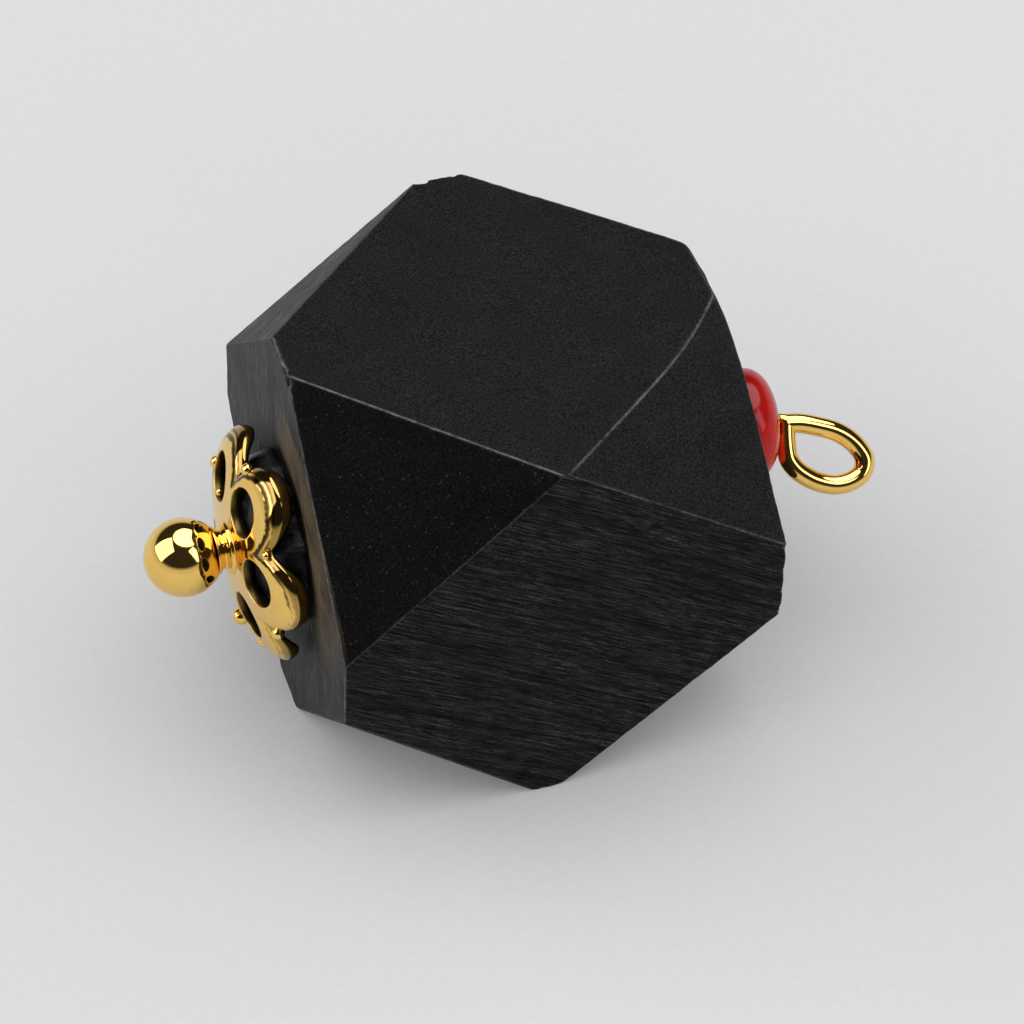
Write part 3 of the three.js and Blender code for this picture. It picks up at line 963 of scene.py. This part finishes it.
def jet_material():
    """Matte cut jet. Each facet has a tone, partly its own and partly painted light and shade. Along
    its grain run pale streaks and short dark dashes, over them lies a fine grit with pale specks, and
    the edges are grey, partly rubbed and partly a painted highlight. Painted shade lies under and
    round the cap, with a painted brownish reflection of the cap beyond it."""
    material, tree, shader, place = new_material("matte_jet")
    plan = tree.nodes.new("ShaderNodeUVMap")
    plan.uv_map = "facet_plan"
    plan = plan.outputs[0]
    grain, grit = attribute(tree, "grain_strength"), attribute(tree, "grit_strength")

    bands = noise(tree, plan, 1.0, (0.12, 2.6, 1), 3.0, 0.6, 0.3)
    streaks = noise(tree, plan, 1.0, (0.35, 9.0, 1), 4.0, 0.62, 0.4)
    hairs = noise(tree, plan, 1.0, (1.1, 19.0, 1), 3.0, 0.6, 0.2)
    dashes = spread(tree, noise(tree, plan, 1.0, (0.7, 13.0, 5), 2.0, 0.5), 0.36, 0.44, 0.0, 1.0)
    fine = noise(tree, place, 12500.0, detail=3.0, roughness=0.7)
    specks = spread(tree, noise(tree, place, 8200.0, detail=2.0, roughness=0.6), 0.66, 0.72)
    clouds = noise(tree, place, 420.0, detail=4.0)

    # Brightness along the grain, about 1 on average, mixed in by the facet's grain strength.
    lines = product(
        tree, spread(tree, streaks, 0.34, 0.64, 0.05, 1.9), spread(tree, hairs, 0.38, 0.62, 0.0, 2.0),
        spread(tree, bands, 0.32, 0.66, 0.3, 1.6), spread(tree, dashes, 0, 1, 0.1, 1.05))
    tone = maths(tree, "MULTIPLY_ADD", maths(tree, "SUBTRACT", lines, 1.0), grain, 1.0)
    gritty = spread(tree, fine, 0.35, 0.65, -0.1, 2.1)
    gritty = maths(tree, "MULTIPLY_ADD", maths(tree, "SUBTRACT", gritty, 1.0), grit, 1.0)
    # Painted shade on the left facet, under the cap and a little way round its rim.
    apart = tree.nodes.new("ShaderNodeSeparateXYZ")
    tree.links.new(place, apart.inputs[0])
    aside, rise = apart.outputs["Y"], maths(
        tree, "SUBTRACT", apart.outputs["Z"], STONE_MIDDLE[2] * METRES)
    away = maths(tree, "SQRT", maths(
        tree, "ADD", product(tree, aside, aside), product(tree, rise, rise)))
    away = maths(tree, "MULTIPLY_ADD", clouds, 0.0012, away)
    on_left = maths(tree, "LESS_THAN", apart.outputs["X"], LEFT_FACET_BEGINS * METRES)
    cap_painted_shade = product(tree, spread(tree, away, 0.005, 0.0056, 1.0, 0.0), on_left)
    # There the tone is darkened to about an eighth: painted shade.
    tone = product(tree, tone, gritty, spread(tree, clouds, 0.3, 0.7, 0.8, 1.2),
                   spread(tree, cap_painted_shade, 0, 1, 1.0, 0.12))
    # Each facet's tone, partly its own and partly painted light and shade.
    base = node(tree, "ShaderNodeVectorMath", operation="SCALE")
    tree.links.new(attribute(tree, "facet_tone_and_shade", "Vector"), base.inputs[0])
    tree.links.new(tone, base.inputs["Scale"])
    # A painted brownish reflection of the gold cap beyond it, on the side towards the camera and over
    # the wire.
    cap_painted_reflection = product(
        tree, spread(tree, away, 0.0095, 0.0058, 0.0, 1.0), on_left,
        maths(tree, "SUBTRACT", 1.0, cap_painted_shade), spread(tree, aside, 0.0015, -0.0005, 0.0, 1.0),
        spread(tree, rise, -0.002, 0.0015, 0.0, 1.0),
        spread(tree, noise(tree, place, 700.0), 0.3, 0.55, 0.3, 1.0))
    # The colour of the painted reflection of the cap.
    colour = mixed(tree, cap_painted_reflection, base.outputs[0], (0.11, 0.08, 0.046))
    colour = mixed(tree, product(tree, specks, grit), colour, (0.036, 0.036, 0.037))
    # Grey edges, partly rubbed and partly a painted highlight.
    worn = product(tree, attribute(tree, "edge_wear_and_highlight"), spread(tree, fine, 0.3, 0.6, 0.5, 1.1))
    colour = mixed(tree, worn, colour, (0.24, 0.24, 0.245))
    tree.links.new(colour, shader.inputs["Base Color"])

    rough = maths(tree, "ADD", attribute(tree, "facet_roughness"),
                  spread(tree, clouds, 0.3, 0.7, -0.05, 0.05))
    tree.links.new(rough, shader.inputs["Roughness"])
    shader.inputs["Specular IOR Level"].default_value = 0.05
    bump_grit = node(tree, "ShaderNodeBump", Height=fine, Strength=0.6, Distance=0.00002)
    relief = product(tree, lines, grain)
    bump_grain = node(tree, "ShaderNodeBump", Height=relief, Strength=0.8, Distance=0.000012,
                      Normal=bump_grit.outputs[0])
    tree.links.new(bump_grain.outputs[0], shader.inputs["Normal"])
    return material


def gold_material():
    """Polished gold plate: a deep yellow metal with faint clouds and pits, with painted shade along
    the cap's rims in place of their dark reflection. The cap's underside and the walls of its holes
    are rougher and darkened with painted shade."""
    material, tree, shader, place = new_material("polished_gold")
    shader.inputs["Metallic"].default_value = 1.0
    clouds = noise(tree, place, 900.0)
    pits = spread(tree, noise(tree, place, 3600.0, detail=2.0), 0.7, 0.76)
    colour = ramp(tree, clouds, [(0.3, (0.88, 0.56, 0.14)), (0.7, (0.93, 0.62, 0.175))])
    # Painted shade darkens the underside and the hole walls, which are also rougher.
    rough_and_shaded = attribute(tree, "unpolished_and_painted_shade")
    colour = mixed(tree, product(tree, pits, 0.5), colour, (0.45, 0.25, 0.05))
    # Painted shade along the rims, in place of their dark reflection.
    colour = mixed(tree, attribute(tree, "rim_painted_dark"), colour, (0.05, 0.032, 0.009))
    colour = mixed(tree, rough_and_shaded, colour, (0.05, 0.035, 0.012))
    tree.links.new(colour, shader.inputs["Base Color"])
    rough = spread(tree, clouds, 0.3, 0.7, 0.04, 0.1)
    tree.links.new(maths(tree, "MULTIPLY_ADD", rough_and_shaded, 0.35, rough), shader.inputs["Roughness"])
    bump = node(tree, "ShaderNodeBump", Height=clouds, Strength=0.06, Distance=0.00004)
    tree.links.new(bump.outputs[0], shader.inputs["Normal"])
    return material


def adhesive_material():
    """Glossy black adhesive with smoky grey clouds."""
    material, tree, shader, place = new_material("black_adhesive")
    clouds = noise(tree, place, 1500.0, detail=5.0, roughness=0.65, distortion=0.5)
    colour = ramp(tree, clouds, [(0.45, (0.003, 0.003, 0.003)), (0.7, (0.022, 0.023, 0.025))])
    tree.links.new(colour, shader.inputs["Base Color"])
    tree.links.new(spread(tree, clouds, 0.3, 0.7, 0.3, 0.45), shader.inputs["Roughness"])
    bump = node(tree, "ShaderNodeBump", Height=clouds, Strength=0.6, Distance=0.0001)
    tree.links.new(bump.outputs[0], shader.inputs["Normal"])
    shader.inputs["Specular IOR Level"].default_value = 0.25
    return material


def coral_material():
    """Glossy coral: deep red with faint paler clouds drawn round it."""
    material, tree, shader, place = new_material("glossy_coral")
    clouds = noise(tree, place, 420.0, (1.6, 1, 1), 5.0, 0.6, 0.8)
    colour = ramp(tree, clouds, [
        (0.32, (0.4, 0.005, 0.004)), (0.6, (0.52, 0.01, 0.007)), (0.78, (0.6, 0.045, 0.035))])
    tree.links.new(colour, shader.inputs["Base Color"])
    tree.links.new(spread(tree, clouds, 0.3, 0.7, 0.13, 0.2), shader.inputs["Roughness"])
    shader.inputs["Specular IOR Level"].default_value = 0.25
    return material


def make_floor():
    """A wide pale floor, seamless up to the horizon."""
    half = 1200.0
    corners = np.array([[-half, -half, 0], [half, -half, 0], [half, half, 0], [-half, half, 0]])
    mesh = bpy.data.meshes.new("studio_floor")
    mesh.from_pydata((corners * METRES).tolist(), [], [[0, 1, 2, 3]])
    floor = bpy.data.objects.new("studio_floor", mesh)
    bpy.context.scene.collection.objects.link(floor)
    material, tree, shader, place = new_material("pale_paper")
    speck = node(tree, "ShaderNodeTexNoise", Vector=place, Scale=2500.0, Detail=2.0)
    tone = ramp(tree, speck.outputs["Fac"], [
        (0.3, (0.765, 0.772, 0.785)), (0.7, (0.785, 0.792, 0.806))])
    tree.links.new(tone, shader.inputs["Base Color"])
    shader.inputs["Roughness"].default_value = 0.9
    shader.inputs["Specular IOR Level"].default_value = 0.1
    mesh.materials.append(material)


# The camera stands before and above the stone, turned to its left.
VIEW_RISE = 47.142
VIEW_TURN = -18.0
VIEW_DISTANCE = 145.65
VIEW_ASIDE = (0.614, -1.201)
LENS = 123.06


def view_axes():
    turn, rise = math.radians(VIEW_TURN), math.radians(VIEW_RISE)
    back = np.array([
        math.sin(turn) * math.cos(rise), -math.cos(turn) * math.cos(rise), math.sin(rise)])
    right = np.array([math.cos(turn), math.sin(turn), 0])
    return right, np.cross(back, right), back


def make_camera():
    right, up, back = view_axes()
    place = STONE_MIDDLE + VIEW_DISTANCE * back + VIEW_ASIDE[0] * right + VIEW_ASIDE[1] * up
    camera = bpy.data.objects.new("photo_camera", bpy.data.cameras.new("photo_camera"))
    bpy.context.scene.collection.objects.link(camera)
    turned = np.eye(4)
    turned[:3, 0], turned[:3, 1], turned[:3, 2] = right, up, back
    turned[:3, 3] = place * METRES
    camera.matrix_world = Matrix(turned.tolist())
    camera.data.lens = LENS
    camera.data.sensor_width = 36
    camera.data.clip_start = 0.005
    camera.data.clip_end = 20
    bpy.context.scene.camera = camera


# The lights by name: the direction they stand in, their distance, width and height (mm), their
# radiance, whether they are round, and their tint. The softboxes show only in the polish.
COOL = (0.8, 0.8, 1.0)
SOFTBOXES = {
    "left_softbox": ((-0.757, 0.153, 0.635), 700, 600, 660, 3.1, False, COOL),
    "top_softbox": ((0.222, 0.261, 0.94), 700, 820, 820, 3.7, True, (0.93, 0.93, 1.0)),
    "right_softbox": ((0.496, -0.583, 0.643), 700, 250, 520, 3.2, False, COOL),
}
# The wide lights only light the surfaces, and don't show in the polish.
WIDE_LIGHTS = {
    "wide_overhead": ((0, 0, 1), 2500, 5600, 5600, 0.58),
    "wide_key": ((0.08, -0.05, 1), 1800, 1700, 1700, 0.8, True),
    "wide_front": ((-0.15, -1, 0.3), 2200, 3600, 1500, 1.05),
    "wide_left": ((-1, 0.25, 0.5), 2500, 4200, 2600, 1.3),
    "wide_right": ((1, -0.15, 0.5), 2500, 4200, 2600, 0.85),
}


def area_light(name, aim, distance, width, height, glow, round_front=False, tint=(1, 1, 1)):
    light = bpy.data.lights.new(name, "AREA")
    light.shape = "DISK" if round_front else "RECTANGLE"
    light.size = width * METRES
    area = math.pi / 4 * light.size**2
    if not round_front:
        light.size_y = height * METRES
        area = light.size * light.size_y
    light.energy = glow * math.pi * area
    light.color = tint
    lamp = bpy.data.objects.new(name, light)
    bpy.context.scene.collection.objects.link(lamp)
    direction = Vector(unit(aim).tolist())
    lamp.location = (direction * distance + Vector(STONE_MIDDLE.tolist())) * METRES
    lamp.rotation_mode = "QUATERNION"
    lamp.rotation_quaternion = direction.to_track_quat("Z", "Y")
    return lamp


def make_light():
    """A dark room with low pale walls, three softboxes and five wide weak lights."""
    world = bpy.data.worlds.new("studio")
    bpy.context.scene.world = world
    world.use_nodes = True
    tree = world.node_tree
    way = tree.nodes.new("ShaderNodeTexCoord").outputs["Generated"]
    split = tree.nodes.new("ShaderNodeSeparateXYZ")
    tree.links.new(way, split.inputs[0])
    tone = ramp(tree, split.outputs["Z"], [(0.14, (0.68, 0.685, 0.7)), (0.3, (0.03, 0.03, 0.031))])
    tree.links.new(tone, tree.nodes["Background"].inputs["Color"])
    for name, values in SOFTBOXES.items():
        area_light(name, *values).visible_diffuse = False
    for name, values in WIDE_LIGHTS.items():
        area_light(name, *values).visible_glossy = False


bpy.context.scene.view_settings.view_transform = "Standard"
make_camera()
make_light()
make_floor()
jet = jet_material()
gold = gold_material()
make_stone(jet)
make_cap(gold)
make_adhesive(adhesive_material())
make_grains(gold)
make_collar(gold)
make_pin(gold)
make_bead(coral_material())
